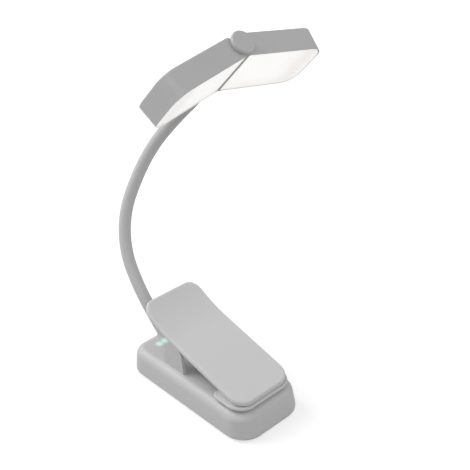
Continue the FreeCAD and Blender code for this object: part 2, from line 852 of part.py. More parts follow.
def cavity_floor():
    """Height of the hollow's floor, measured from the spine towards the lit side."""
    return wing_back_wall - half_thickness


def pocket_floor():
    """Height of the ledge that the diffuser lies on."""
    return half_thickness - diffuser_sink - diffuser_thickness


def wing_housing(hand):
    """Moulded tray of a wing, with its knuckles on the spine."""
    body = slab(wing_plan(hand, 0, 0, 0), -half_thickness, half_thickness)
    back_edges = [edge for edge in edges_at_height(body, -half_thickness)
                  if abs(edge.CenterOfMass.x) > hinge_gap]
    body = body.makeFillet(wing_edge_round, back_edges)
    body = body.cut(hinge_side(hand))
    channel = barrel_radius + barrel_clearance
    for start, end in knuckles(-hand):
        body = body.cut(rod(channel, Vec(0, start - hinge_gap, 0), Vec(0, end + hinge_gap, 0)))
    for start, end in knuckles(hand):
        body = body.fuse(rod(barrel_radius, Vec(0, start, 0), Vec(0, end, 0)))
    body = body.cut(rod(spine_radius + spine_clearance, Vec(0, 0, 0), Vec(0, wing_width, 0)))
    pocket_plan = wing_plan(hand, diffuser_edge(), rim, diffuser_inner_corner)
    pocket = slab(pocket_plan, pocket_floor(), half_thickness)
    hollow = slab(wing_plan(hand, cavity_edge(), wing_wall, cavity_corner), cavity_floor(), half_thickness)
    return in_head(body.cut(pocket).cut(hollow).removeSplitter(), wing_turn(hand))


def wing_turn(hand):
    """Turn about the spine that lets a wing droop towards the lit side."""
    return -hand * wing_droop_angle


def wing_diffuser(hand):
    """Opal cover of a wing, let into its rim."""
    top = half_thickness - diffuser_sink
    inset = rim + glue_clearance
    plan = wing_plan(hand, diffuser_edge() + glue_clearance, inset, diffuser_inner_corner)
    plate = slab(plan, pocket_floor(), top)
    plate = plate.makeFillet(diffuser_round, edges_at_height(plate, top))
    return in_head(plate, wing_turn(hand))


def inner_plan(hand, inset):
    """Plan of the pieces inside a wing, drawn in from the hollow's walls."""
    return wing_plan(hand, cavity_edge() + inset, wing_wall + inset, cavity_corner)


def wing_led_board(hand):
    """Board for the lamps, on the floor of the wing."""
    bottom = cavity_floor()
    board = slab(inner_plan(hand, led_board_clearance), bottom, bottom + board_thickness)
    return in_head(board, wing_turn(hand))


def wing_leds(hand):
    """Grid of lamps on the board."""
    x_first = cavity_edge() + wing_wall + led_margin
    x_last = wing_length - wing_wall - led_margin
    y_first = wing_wall + led_margin
    y_last = wing_width - y_first
    bottom = cavity_floor() + board_thickness
    half = led_size / 2
    lamps = []
    for column in range(led_columns):
        x = hand * (x_first + (x_last - x_first) * column / (led_columns - 1))
        for row in range(led_rows):
            y = y_first + (y_last - y_first) * row / (led_rows - 1)
            lamps.append(box(x - half, x + half, y - half, y + half, bottom, bottom + led_height))
    return in_head(Part.makeCompound(lamps), wing_turn(hand))


def wing_reflector(hand):
    """White frame with slanting walls between the board and the diffuser."""
    bottom = cavity_floor() + board_thickness
    top = pocket_floor()
    frame = slab(inner_plan(hand, led_board_clearance), bottom, top)
    low = outline(inner_plan(hand, reflector_foot), level(bottom))
    high = outline(inner_plan(hand, reflector_lip), level(top))
    return in_head(frame.cut(Part.makeLoft([low, high], True, True)), wing_turn(hand))


def export(node, shape):
    """Writes one node."""
    shape.exportStep("parts/%s.step" % node)


def build():
    """Makes every piece and writes it."""
    os.makedirs("parts", exist_ok=True)
    base_pieces = (base_cover, foot_pad, cover_screws, base_shell, battery, control_board, usb_socket,
                   usb_tongue, tact_switch, power_button, charge_leds, light_pipes, lower_jaw_pad)
    clip_pieces = (lever_plate, upper_jaw, upper_jaw_pad, clip_pin, clip_spring)
    for piece in base_pieces + clip_pieces + (head_spine, hinge_cap):
        export(piece.__name__, piece())
    for number in range(arm_count + 1):
        export("arm_core_%d" % number, core_link(number))
    for number in range(arm_count):
        export("arm_sleeve_%d" % (number + 1), arm_sleeve(number))
    for hand, name in ((1, "right"), (-1, "left")):
        for piece in (wing_housing, wing_led_board, wing_leds, wing_reflector, wing_diffuser):
            export("%s_%s" % (name, piece.__name__), piece(hand))


build()
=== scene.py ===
import json
import math

import bmesh
import bpy
from mathutils import Matrix, Quaternion, Vector


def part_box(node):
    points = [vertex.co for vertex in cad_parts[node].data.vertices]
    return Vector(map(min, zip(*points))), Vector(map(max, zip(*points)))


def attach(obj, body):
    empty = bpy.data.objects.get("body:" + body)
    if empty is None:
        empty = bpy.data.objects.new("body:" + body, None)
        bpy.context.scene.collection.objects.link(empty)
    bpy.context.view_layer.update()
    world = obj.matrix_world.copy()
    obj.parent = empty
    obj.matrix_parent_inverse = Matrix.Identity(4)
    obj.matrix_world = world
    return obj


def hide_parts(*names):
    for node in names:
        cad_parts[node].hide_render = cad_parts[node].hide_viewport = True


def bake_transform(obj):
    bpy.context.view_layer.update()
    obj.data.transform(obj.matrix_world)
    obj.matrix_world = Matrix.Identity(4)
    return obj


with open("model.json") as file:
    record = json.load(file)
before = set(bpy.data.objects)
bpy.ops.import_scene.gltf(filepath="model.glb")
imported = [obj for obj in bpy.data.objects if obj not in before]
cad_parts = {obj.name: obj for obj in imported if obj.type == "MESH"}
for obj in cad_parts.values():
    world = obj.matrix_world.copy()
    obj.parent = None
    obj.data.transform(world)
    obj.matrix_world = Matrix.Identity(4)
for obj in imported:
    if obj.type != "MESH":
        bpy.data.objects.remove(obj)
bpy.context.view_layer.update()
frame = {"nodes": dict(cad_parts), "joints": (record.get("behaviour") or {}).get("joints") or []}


# Base tray: the lower half of the base, a shallow dish injection-moulded in grey plastic.
# Four screws from below hold it to the shell.
millimetre = 0.001
grain_strength = 0.35


def new_group(kind, name, inputs, outputs):
    """An empty node group with named sockets: the group, what its inputs give and what its outputs take."""
    group = bpy.data.node_groups.new(name, kind)
    for way, sockets in (("INPUT", inputs), ("OUTPUT", outputs)):
        for socket, carries in sockets.items():
            group.interface.new_socket(socket, in_out=way, socket_type="NodeSocket" + carries)
    given = group.nodes.new("NodeGroupInput").outputs
    taken = group.nodes.new("NodeGroupOutput").inputs
    return group, given, taken


def moulded_skin_group():
    """Shader group for a moulded skin: slow patches of shade and a fine grain."""
    group, given, taken = new_group(
        "ShaderNodeTree", "moulded skin",
        {"Position": "Vector", "Patches per metre": "Float", "Grains per metre": "Float"},
        {"Patch": "Float", "Grain": "Float"})
    for layer, scale, detail, roughness in (("Patch", "Patches per metre", 2.0, 0.5),
                                            ("Grain", "Grains per metre", 3.0, 0.6)):
        noise = group.nodes.new("ShaderNodeTexNoise")
        noise.inputs["Detail"].default_value = detail
        noise.inputs["Roughness"].default_value = roughness
        group.links.new(given["Position"], noise.inputs["Vector"])
        group.links.new(given[scale], noise.inputs["Scale"])
        group.links.new(noise.outputs["Fac"], taken[layer])
    return group


moulded_skin = moulded_skin_group()


def new_material(name):
    """A material made of nodes, with its tree and its shader."""
    material = bpy.data.materials.new(name)
    material.use_nodes = True
    return material, material.node_tree, material.node_tree.nodes["Principled BSDF"]


def mix_colours(tree, share, first, second):
    """A colour that goes from the first to the second as the share goes from 0 to 1."""
    mix = tree.nodes.new("ShaderNodeMix")
    mix.data_type = "RGBA"
    mix.inputs["A"].default_value = (*first, 1)
    mix.inputs["B"].default_value = (*second, 1)
    tree.links.new(share, mix.inputs["Factor"])
    return mix.outputs["Result"]


def ramp(tree, value, first, last, at_first, at_last, kind="SMOOTHSTEP"):
    """A level that changes from one number to another as a value goes from first to last."""
    change = tree.nodes.new("ShaderNodeMapRange")
    change.interpolation_type = kind
    change.inputs["From Min"].default_value = first
    change.inputs["From Max"].default_value = last
    change.inputs["To Min"].default_value = at_first
    change.inputs["To Max"].default_value = at_last
    tree.links.new(value, change.inputs["Value"])
    return change.outputs["Result"]


def skin_material(name, light, dark, smooth, rough, grains=1400, patches=30, relief=0.04 * millimetre,
                  metallic=0.0, stretch=(1, 1, 1)):
    """A finish of two close shades, with a roughness that follows the grain, and the grain's own relief."""
    material, tree, shader = new_material(name)
    shader.inputs["Metallic"].default_value = metallic
    place = tree.nodes.new("ShaderNodeTexCoord")
    turn = tree.nodes.new("ShaderNodeMapping")
    turn.inputs["Scale"].default_value = stretch
    skin = tree.nodes.new("ShaderNodeGroup")
    skin.node_tree = moulded_skin
    skin.inputs["Patches per metre"].default_value = patches
    skin.inputs["Grains per metre"].default_value = grains
    bump = tree.nodes.new("ShaderNodeBump")
    bump.inputs["Strength"].default_value = grain_strength
    bump.inputs["Distance"].default_value = relief
    shade = mix_colours(tree, skin.outputs["Patch"], dark, light)
    gloss = ramp(tree, skin.outputs["Grain"], 0.0, 1.0, smooth, rough, "LINEAR")
    tree.links.new(place.outputs["Object"], turn.inputs["Vector"])
    tree.links.new(turn.outputs["Vector"], skin.inputs["Position"])
    tree.links.new(shade, shader.inputs["Base Color"])
    tree.links.new(gloss, shader.inputs["Roughness"])
    tree.links.new(skin.outputs["Grain"], bump.inputs["Height"])
    tree.links.new(bump.outputs["Normal"], shader.inputs["Normal"])
    return material


def dress(node, material):
    """Puts a finish on a CAD node."""
    finishes = frame["nodes"][node].data.materials
    finishes.clear()
    finishes.append(material)


base_finish = ((0.516, 0.516, 0.516), (0.488, 0.488, 0.490), 0.44, 0.58)
dress("base_cover", skin_material("tray plastic", *base_finish))


# Foot pad: a thin sheet of dark grey rubber let into the tray, with moulded ribs across it for grip.
# It is glued in its recess and is the face that the lamp stands on.
rib_share = 0.72
rib_steps = 6
corner_steps = 10
crisp_angle = math.radians(50)


def maths(tree, operation, *values):
    """The result of one sum on node outputs and plain numbers."""
    node = tree.nodes.new("ShaderNodeMath")
    node.operation = operation
    for socket, value in zip(node.inputs, values):
        if isinstance(value, float):
            socket.default_value = value
        else:
            tree.links.new(value, socket)
    return node.outputs["Value"]


def row_of_points(tree, given):
    """Points in a straight row, by the tree's inputs Count, First and Step."""
    row = tree.nodes.new("GeometryNodeMeshLine")
    row.mode = "OFFSET"
    tree.links.new(given["Count"], row.inputs["Count"])
    tree.links.new(given["First"], row.inputs["Start Location"])
    tree.links.new(given["Step"], row.inputs["Offset"])
    return row.outputs["Mesh"]


def shape_of(tree, piece):
    """The mesh of an object that the tree is given."""
    info = tree.nodes.new("GeometryNodeObjectInfo")
    tree.links.new(piece, info.inputs["Object"])
    return info.outputs["Geometry"]


def copies_at(tree, points, shape, size=None):
    """Copies of a shape at points, each at its own size where one is given."""
    copies = tree.nodes.new("GeometryNodeInstanceOnPoints")
    tree.links.new(points, copies.inputs["Points"])
    tree.links.new(shape, copies.inputs["Instance"])
    if size is not None:
        tree.links.new(size, copies.inputs["Scale"])
    return copies.outputs["Instances"]


def finish_tree(tree, geometry, given, taken):
    """Ends a geometry tree: copies become real meshes, and get the tree's finish."""
    real = tree.nodes.new("GeometryNodeRealizeInstances")
    coat = tree.nodes.new("GeometryNodeSetMaterial")
    tree.links.new(geometry, real.inputs["Geometry"])
    tree.links.new(real.outputs["Geometry"], coat.inputs["Geometry"])
    tree.links.new(given["Finish"], coat.inputs["Material"])
    tree.links.new(coat.outputs["Geometry"], taken["Geometry"])


def ribbed_pad_tree():
    """Geometry tree: rounded ribs side by side, each as long as the pad's rounded outline is wide there."""
    tree, given, taken = new_group(
        "GeometryNodeTree", "ribbed pad",
        {"Rib": "Object", "Count": "Int", "First": "Vector", "Step": "Vector", "Middle": "Float",
         "Half length": "Float", "Half width": "Float", "Corner": "Float", "Finish": "Material"},
        {"Geometry": "Geometry"})
    place = tree.nodes.new("GeometryNodeInputPosition")
    apart = tree.nodes.new("ShaderNodeSeparateXYZ")
    tree.links.new(place.outputs["Position"], apart.inputs["Vector"])
    from_middle = maths(tree, "ABSOLUTE", maths(tree, "SUBTRACT", apart.outputs["Y"], given["Middle"]))
    straight = maths(tree, "SUBTRACT", given["Half length"], given["Corner"])
    into_corner = maths(tree, "MAXIMUM", maths(tree, "SUBTRACT", from_middle, straight), 0.0)
    corner_square = maths(tree, "MULTIPLY", given["Corner"], given["Corner"])
    used_square = maths(tree, "MULTIPLY", into_corner, into_corner)
    left_over = maths(tree, "MAXIMUM", maths(tree, "SUBTRACT", corner_square, used_square), 0.0)
    lost = maths(tree, "SUBTRACT", given["Corner"], maths(tree, "SQRT", left_over))
    size = tree.nodes.new("ShaderNodeCombineXYZ")
    size.inputs["Y"].default_value = 1.0
    size.inputs["Z"].default_value = 1.0
    tree.links.new(maths(tree, "SUBTRACT", given["Half width"], lost), size.inputs["X"])
    ribs = copies_at(tree, row_of_points(tree, given), shape_of(tree, given["Rib"]), size.outputs["Vector"])
    finish_tree(tree, ribs, given, taken)
    return tree


ribbed_pad = ribbed_pad_tree()


def link_object(name, data):
    """A new object in the scene."""
    made = bpy.data.objects.new(name, data)
    bpy.context.scene.collection.objects.link(made)
    return made


def settled(maker, name):
    """The evaluated result of an object's modifiers as a plain mesh object; the maker goes."""
    depsgraph = bpy.context.evaluated_depsgraph_get()
    mesh = bpy.data.meshes.new_from_object(maker.evaluated_get(depsgraph))
    bpy.data.objects.remove(maker)
    mesh.name = name
    return link_object(name, mesh)


def grown(name, tree, values, start=None):
    """What a geometry tree makes of its named inputs, on a curve or on nothing, as a plain mesh object."""
    maker = link_object(name + "_maker", start or bpy.data.meshes.new(name + "_maker"))
    modifier = maker.modifiers.new("tree", "NODES")
    modifier.node_group = tree
    for item in tree.interface.items_tree:
        if item.item_type == "SOCKET" and item.in_out == "INPUT" and item.name in values:
            modifier[item.identifier] = values[item.name]
    return settled(maker, name)


def mesh_object(name, shape):
    """A mesh object from a finished bmesh."""
    mesh = bpy.data.meshes.new(name)
    shape.to_mesh(mesh)
    shape.free()
    return link_object(name, mesh)


def crisp_edges(piece):
    """Smooth faces all over, with the edges kept sharp where the surface turns by the crisp angle or more."""
    shape = bmesh.new()
    shape.from_mesh(piece.data)
    for face in shape.faces:
        face.smooth = True
    for edge in shape.edges:
        edge.smooth = edge.calc_face_angle(math.pi) < crisp_angle
    shape.to_mesh(piece.data)
    shape.free()


def add_prism(shape, outline, z_low, z_high):
    """Adds an upright prism with a given outline to a bmesh."""
    lower = [shape.verts.new((x, y, z_low)) for x, y in outline]
    upper = [shape.verts.new((x, y, z_high)) for x, y in outline]
    shape.faces.new(list(reversed(lower)))
    shape.faces.new(upper)
    for index in range(len(outline)):
        after = (index + 1) % len(outline)
        shape.faces.new((lower[index], lower[after], upper[after], upper[index]))


def add_sheet(shape, low, high, corner, z_low, z_high):
    """Adds a flat sheet with rounded corners to a bmesh."""
    outline = []
    for x, y, start in ((high.x - corner, high.y - corner, 0), (low.x + corner, high.y - corner, 90),
                        (low.x + corner, low.y + corner, 180), (high.x - corner, low.y + corner, 270)):
        for step in range(corner_steps + 1):
            angle = math.radians(start + 90 * step / corner_steps)
            outline.append((x + corner * math.cos(angle), y + corner * math.sin(angle)))
    add_prism(shape, outline, z_low, z_high)


def rib_bar(name, width, height, up):
    """One rib two units long, with a rounded crest that points up or down."""
    shape = bmesh.new()
    angles = [math.pi * step / rib_steps for step in range(rib_steps + 1)]
    ends = []
    for x in (-1.0, 1.0):
        ends.append([shape.verts.new((x, width / 2 * math.cos(angle), up * height * math.sin(angle)))
                     for angle in angles])
    for index in range(len(angles)):
        after = (index + 1) % len(angles)
        shape.faces.new((ends[0][index], ends[0][after], ends[1][after], ends[1][index]))
    shape.faces.new(ends[0])
    shape.faces.new(ends[1])
    bmesh.ops.recalc_face_normals(shape, faces=shape.faces)
    return mesh_object(name, shape)


def make_ribbed_pad(node, body, corner, rib_pitch, rib_height, ribs_up, finish):
    """A rubber pad in a CAD pad's space: a sheet, with ribs across the face that grips."""
    low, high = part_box(node)
    middle = (low.y + high.y) / 2
    root = high.z - rib_height if ribs_up else low.z + rib_height
    sheet_low = low.z if ribs_up else root
    sheet_high = root if ribs_up else high.z
    edge = rib_pitch / 4
    count = int((high.y - low.y - rib_pitch) / rib_pitch)
    first = middle - rib_pitch * (count - 1) / 2
    bar = rib_bar(node + "_rib", rib_share * rib_pitch, rib_height, 1.0 if ribs_up else -1.0)
    ribs = grown(node + "_ribs", ribbed_pad, {
        "Rib": bar, "Count": count, "First": (0.0, first, root), "Step": (0.0, rib_pitch, 0.0),
        "Middle": middle, "Half length": (high.y - low.y) / 2 - edge,
        "Half width": (high.x - low.x) / 2 - edge, "Corner": corner, "Finish": finish})
    shape = bmesh.new()
    shape.from_mesh(ribs.data)
    bpy.data.objects.remove(bar)
    bpy.data.objects.remove(ribs)
    add_sheet(shape, low, high, corner, sheet_low, sheet_high)
    pad = mesh_object(node + "_rubber", shape)
    crisp_edges(pad)
    pad.data.materials.append(finish)
    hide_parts(node)
    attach(pad, body)


pad_rubber = skin_material("pad rubber", (0.100, 0.100, 0.104), (0.070, 0.070, 0.073), 0.62, 0.82,
                           grains=2600, relief=0.06 * millimetre)
make_ribbed_pad("foot_pad", "base", corner=8.0 * millimetre, rib_pitch=4.0 * millimetre,
                rib_height=0.35 * millimetre, ribs_up=False, finish=pad_rubber)


# Cover screws: small pan-head steel screws with a cross recess, driven up through the tray.
# They stay in view from below, beside the foot pad.
screw_low, screw_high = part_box("cover_screws")
screw_length = screw_high.z - screw_low.z
screw_radius = 1.0 * millimetre
screw_head_radius = 1.9 * millimetre
screw_head_height = 1.0 * millimetre
thread_pitch = 0.55 * screw_radius
thread_root_radius = 0.82 * screw_radius
screw_point_radius = 0.3 * screw_radius
cross_span = 1.25 * screw_head_radius
cross_width = 0.30 * screw_head_radius
cross_depth = 0.65 * screw_head_height
lathe_steps = 24
weld_distance = 0.0001 * millimetre


def lathed_screw():
    """A screw with its pan head down and rings for its thread."""
    profile = [(0.0, 0.0), (0.70 * screw_head_radius, 0.0),
               (0.90 * screw_head_radius, 0.12 * screw_head_height),
               (screw_head_radius, 0.40 * screw_head_height), (screw_head_radius, screw_head_height),
               (screw_radius, screw_head_height)]
    for turn in range(int((screw_length - screw_head_height) / thread_pitch) - 1):
        thread_start = screw_head_height + thread_pitch * turn
        profile.append((thread_root_radius, thread_start + 0.30 * thread_pitch))
        profile.append((screw_radius, thread_start + 0.75 * thread_pitch))
    profile += [(screw_point_radius, screw_length), (0.0, screw_length)]
    shape = bmesh.new()
    points = [shape.verts.new((radius, 0.0, z)) for radius, z in profile]
    edges = [shape.edges.new(ends) for ends in zip(points, points[1:])]
    bmesh.ops.spin(shape, geom=points + edges, cent=(0, 0, 0), axis=(0, 0, 1), angle=math.tau,
                   steps=lathe_steps, use_merge=True)
    bmesh.ops.remove_doubles(shape, verts=shape.verts, dist=weld_distance)
    bmesh.ops.recalc_face_normals(shape, faces=shape.faces)
    return mesh_object("lathed_screw", shape)


def cut_cross(screw):
    """Cuts the driver's cross into a screw's head and gives back the finished screw."""
    outline = []
    for quarter in range(4):
        turn = Matrix.Rotation(math.radians(90 * quarter), 2)
        for corner in ((cross_span / 2, -cross_width / 2), (cross_span / 2, cross_width / 2),
                       (cross_width / 2, cross_width / 2)):
            outline.append(turn @ Vector(corner))
    shape = bmesh.new()
    add_prism(shape, outline, -cross_depth, cross_depth)
    cross = mesh_object("driver_cross", shape)
    cut = screw.modifiers.new("cross", "BOOLEAN")
    cut.operation = "DIFFERENCE"
    cut.object = cross
    finished = settled(screw, "screw_with_cross")
    bpy.data.objects.remove(cross)
    shape = bmesh.new()
    shape.from_mesh(finished.data)
    bmesh.ops.remove_doubles(shape, verts=shape.verts, dist=weld_distance)
    shape.to_mesh(finished.data)
    shape.free()
    crisp_edges(finished)
    return finished


def corner_copies_tree():
    """Geometry tree: one copy of an object at each corner of a rectangle."""
    tree, given, taken = new_group(
        "GeometryNodeTree", "copies at corners",
        {"Piece": "Object", "Width": "Float", "Length": "Float", "Height": "Float", "Finish": "Material"},
        {"Geometry": "Geometry"})
    corners = tree.nodes.new("GeometryNodeMeshGrid")
    corners.inputs["Vertices X"].default_value = 2
    corners.inputs["Vertices Y"].default_value = 2
    tree.links.new(given["Width"], corners.inputs["Size X"])
    tree.links.new(given["Length"], corners.inputs["Size Y"])
    lift = tree.nodes.new("ShaderNodeCombineXYZ")
    tree.links.new(given["Height"], lift.inputs["Z"])
    move = tree.nodes.new("GeometryNodeTransform")
    tree.links.new(corners.outputs["Mesh"], move.inputs["Geometry"])
    tree.links.new(lift.outputs["Vector"], move.inputs["Translation"])
    copies = copies_at(tree, move.outputs["Geometry"], shape_of(tree, given["Piece"]))
    finish_tree(tree, copies, given, taken)
    return tree


steel = skin_material("plain steel", (0.62, 0.62, 0.63), (0.50, 0.50, 0.52), 0.24, 0.42, grains=900,
                      patches=140, relief=0.01 * millimetre, metallic=1.0, stretch=(0.15, 1, 1))
one_screw = cut_cross(lathed_screw())
screws = grown("cover_screws_cross_head", corner_copies_tree(), {
    "Piece": one_screw, "Width": screw_high.x - screw_low.x - 2 * screw_head_radius,
    "Length": screw_high.y - screw_low.y - 2 * screw_head_radius, "Height": screw_low.z, "Finish": steel})
bpy.data.objects.remove(one_screw)
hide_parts("cover_screws")
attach(screws, "base")


# Base shell: the upper half of the base, moulded in one with the clip's ears and the arm's root boss.
# It has the same grey plastic as the tray and closes on the tray's rim.
shell_plastic = skin_material("shell plastic", *base_finish)
dress("base_shell", shell_plastic)


# Inside the base: the flat lithium cell in its foil, the control board with its switch and the
# two small lamps under the light pipes. None of them shows while the base is closed.
foil = skin_material("cell foil", (0.60, 0.61, 0.63), (0.48, 0.49, 0.51), 0.30, 0.46, grains=240,
                     relief=0.2 * millimetre, metallic=0.8)
board_mask = skin_material("board solder mask", (0.030, 0.150, 0.065), (0.018, 0.105, 0.045), 0.30, 0.45,
                           grains=700, patches=260)
black_nylon = skin_material("black nylon", (0.030, 0.030, 0.031), (0.018, 0.018, 0.019), 0.45, 0.60)
phosphor = skin_material("lamp phosphor", (0.90, 0.78, 0.42), (0.82, 0.66, 0.30), 0.25, 0.40,
                         grains=3000, patches=400)
dress("battery", foil)
dress("control_board", board_mask)
dress("tact_switch", black_nylon)
dress("charge_leds", phosphor)


# Charging socket: a drawn steel shell in a slot of the right wall, with a black contact tongue
# whose gold-plated contacts lie in two rows, one on each face.
contact_count = 12
contact_pitch = 0.5 * millimetre
contact_inset = 1.6 * millimetre
contact_size = (2.6 * millimetre, 0.28 * millimetre, 0.06 * millimetre)


def contact_row_tree():
    """Geometry tree: a straight row of small blocks."""
    tree, given, taken = new_group(
        "GeometryNodeTree", "contact row",
        {"Count": "Int", "First": "Vector", "Step": "Vector", "Size": "Vector", "Finish": "Material"},
        {"Geometry": "Geometry"})
    block = tree.nodes.new("GeometryNodeMeshCube")
    tree.links.new(given["Size"], block.inputs["Size"])
    finish_tree(tree, copies_at(tree, row_of_points(tree, given), block.outputs["Mesh"]), given, taken)
    return tree


gold = skin_material("gold plate", (0.83, 0.62, 0.26), (0.74, 0.52, 0.20), 0.20, 0.34, grains=2000,
                     metallic=1.0)
dress("usb_socket", steel)
dress("usb_tongue", black_nylon)
contact_row = contact_row_tree()
tongue_low, tongue_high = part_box("usb_tongue")
first_contact_y = (tongue_low.y + tongue_high.y) / 2 - contact_pitch * (contact_count - 1) / 2
for face, contact_z in (("upper", tongue_high.z), ("lower", tongue_low.z)):
    contacts = grown("socket_contacts_" + face, contact_row, {
        "Count": contact_count, "First": (tongue_high.x - contact_inset, first_contact_y, contact_z),
        "Step": (0.0, contact_pitch, 0.0), "Size": contact_size, "Finish": gold})
    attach(contacts, "base")


# Power button and charge lights: a round push button in the base's rear top, and two clear
# rods beside it that bring the green charge lamps to the surface.
button_plastic = skin_material("button plastic", (0.470, 0.470, 0.472), (0.446, 0.446, 0.449), 0.38, 0.50,
                               grains=1800)
dress("power_button", button_plastic)
green_light = skin_material("green light pipe", (0.50, 0.63, 0.56), (0.46, 0.59, 0.52), 0.18, 0.30,
                            grains=500)
green_shader = green_light.node_tree.nodes["Principled BSDF"]
green_shader.inputs["Emission Color"].default_value = (0.42, 0.54, 0.47, 1)
green_shader.inputs["Emission Strength"].default_value = 0.5
dress("light_pipes", green_light)
pipe_low, pipe_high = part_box("light_pipes")
pipe_radius = (pipe_high.y - pipe_low.y) / 2
pipe_ends = [(x, pipe_low.y + pipe_radius, pipe_high.z)
             for x in (pipe_low.x + pipe_radius, pipe_high.x - pipe_radius)]
spill_start = 0.8 * pipe_radius
spill_end = 2.7 * pipe_radius
green_spill = (0.07, 0.34, 0.21)


def let_glow(material, share, glow):
    """Lets a share of a surface give off a faint light of its own."""
    tree = material.node_tree
    shader = tree.nodes["Principled BSDF"]
    shader.inputs["Emission Strength"].default_value = 1.0
    tree.links.new(mix_colours(tree, share, (0, 0, 0), glow), shader.inputs["Emission Color"])


def light_the_surround(material):
    """Adds the light that spreads from the two light pipes into the thin wall around them."""
    tree = material.node_tree
    place = tree.nodes.new("ShaderNodeTexCoord")
    distances = []
    for centre in pipe_ends:
        away = tree.nodes.new("ShaderNodeVectorMath")
        away.operation = "DISTANCE"
        away.inputs[1].default_value = centre
        tree.links.new(place.outputs["Object"], away.inputs[0])
        distances.append(away.outputs["Value"])
    nearest = maths(tree, "MINIMUM", *distances)
    let_glow(material, ramp(tree, nearest, spill_start, spill_end, 1.0, 0.0), green_spill)


light_the_surround(shell_plastic)


# Clip pin and torsion spring: a plain steel pin through the ears, and round spring wire wound on it.
# One leg presses on the base, the other under the lever, so the coil winds up as the clip opens.
coil_radius = 2.9 * millimetre
coil_pitch = 1.8 * millimetre
coil_least_turns = 5
coil_steps_per_turn = 32
wire_radius = 0.6 * millimetre
wire_sides = 14
leg_reach = 17.0 * millimetre
# The upper leg leans, so its end rises above its middle by less than the wire's radius.
upper_leg_rise = 0.88 * wire_radius


def wire_sweep_tree():
    """Geometry tree: a round section carried along a path, closed at its ends if asked."""
    tree, given, taken = new_group(
        "GeometryNodeTree", "round section along a path",
        {"Geometry": "Geometry", "Radius": "Float", "Sides": "Int", "Closed ends": "Bool",
         "Finish": "Material"},
        {"Geometry": "Geometry"})
    ring = tree.nodes.new("GeometryNodeCurvePrimitiveCircle")
    tree.links.new(given["Sides"], ring.inputs["Resolution"])
    tree.links.new(given["Radius"], ring.inputs["Radius"])
    sweep = tree.nodes.new("GeometryNodeCurveToMesh")
    tree.links.new(given["Geometry"], sweep.inputs["Curve"])
    tree.links.new(ring.outputs["Curve"], sweep.inputs["Profile Curve"])
    tree.links.new(given["Closed ends"], sweep.inputs["Fill Caps"])
    soft = tree.nodes.new("GeometryNodeSetShadeSmooth")
    tree.links.new(sweep.outputs["Mesh"], soft.inputs["Geometry"])
    finish_tree(tree, soft.outputs["Geometry"], given, taken)
    return tree


wire_sweep = wire_sweep_tree()


def swept_piece(name, path, radius, sides, closed, finish):
    """A mesh piece: a round section along the points of a path, with its faces outwards."""
    curve = bpy.data.curves.new(name + "_path", "CURVE")
    curve.dimensions = "3D"
    run = curve.splines.new("POLY")
    run.points.add(len(path) - 1)
    for point, place in zip(run.points, path):
        point.co = (*place, 1.0)
    piece = grown(name, wire_sweep, {
        "Radius": radius, "Sides": sides, "Closed ends": closed, "Finish": finish}, start=curve)
    shape = bmesh.new()
    shape.from_mesh(piece.data)
    if closed:
        bmesh.ops.recalc_face_normals(shape, faces=shape.faces)
    else:
        side_face = next(iter(shape.faces))
        centre = side_face.calc_center_median()
        nearest = min(path, key=lambda place: (place - centre).length)
        if side_face.normal.dot(centre - nearest) < 0:
            bmesh.ops.reverse_faces(shape, faces=shape.faces)
    shape.to_mesh(piece.data)
    shape.free()
    return piece


clip_joint = next(joint for joint in frame["joints"] if joint["name"] == "clip_open")
pivot = Vector(clip_joint["pos_m"])
spring_low, spring_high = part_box("clip_spring")


def spring_leg(end_z, sign):
    """Angle on the coil where the straight leg to an end leaves it, and the leg's length."""
    away = Vector((leg_reach, end_z - pivot.z))
    angle = math.atan2(away.y, away.x) + sign * math.acos(coil_radius / away.length)
    return angle, math.sqrt(away.length_squared - coil_radius ** 2)


low_angle, low_leg = spring_leg(spring_low.z + wire_radius, 1)
high_angle, high_leg = spring_leg(spring_high.z - upper_leg_rise, -1)
while high_angle < low_angle + coil_least_turns * math.tau:
    high_angle += math.tau
advance = coil_pitch / math.tau
coil_half = advance * (high_angle - low_angle) / 2


def on_coil(angle):
    """Point on the coil's helix."""
    return Vector((advance * (angle - low_angle) - coil_half, pivot.y + coil_radius * math.cos(angle),
                   pivot.z + coil_radius * math.sin(angle)))


def along_coil(angle):
    """Direction of the wire on the helix, for each unit of length round the coil."""
    return Vector((advance / coil_radius, -math.sin(angle), math.cos(angle)))


coil_steps = coil_steps_per_turn * (coil_least_turns + 1)
spring_path = [on_coil(low_angle) - along_coil(low_angle) * low_leg * share
               for share in (1.0, 0.66, 0.33)]
for step in range(coil_steps + 1):
    spring_path.append(on_coil(low_angle + (high_angle - low_angle) * step / coil_steps))
spring_path += [on_coil(high_angle) + along_coil(high_angle) * high_leg * share
                for share in (0.33, 0.66, 1.0)]
spring_steel = skin_material("spring steel", (0.50, 0.50, 0.52), (0.36, 0.36, 0.38), 0.22, 0.40, grains=1200,
                             patches=200, relief=0.01 * millimetre, metallic=1.0)
spring = swept_piece("clip_spring_wire", spring_path, wire_radius, wire_sides, True, spring_steel)
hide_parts("clip_spring")
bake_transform(spring)
dress("clip_pin", steel)


# Clip lever: the long cover plate with its two lugs, and the wedge jaw that is fixed under its front.
# Both are moulded in grey plastic, a touch lighter than the base's.
lever_plastic = skin_material("lever plastic", (0.575, 0.575, 0.575), (0.548, 0.548, 0.550), 0.44, 0.58)
dress("lever_plate", lever_plastic)
dress("upper_jaw", lever_plastic)


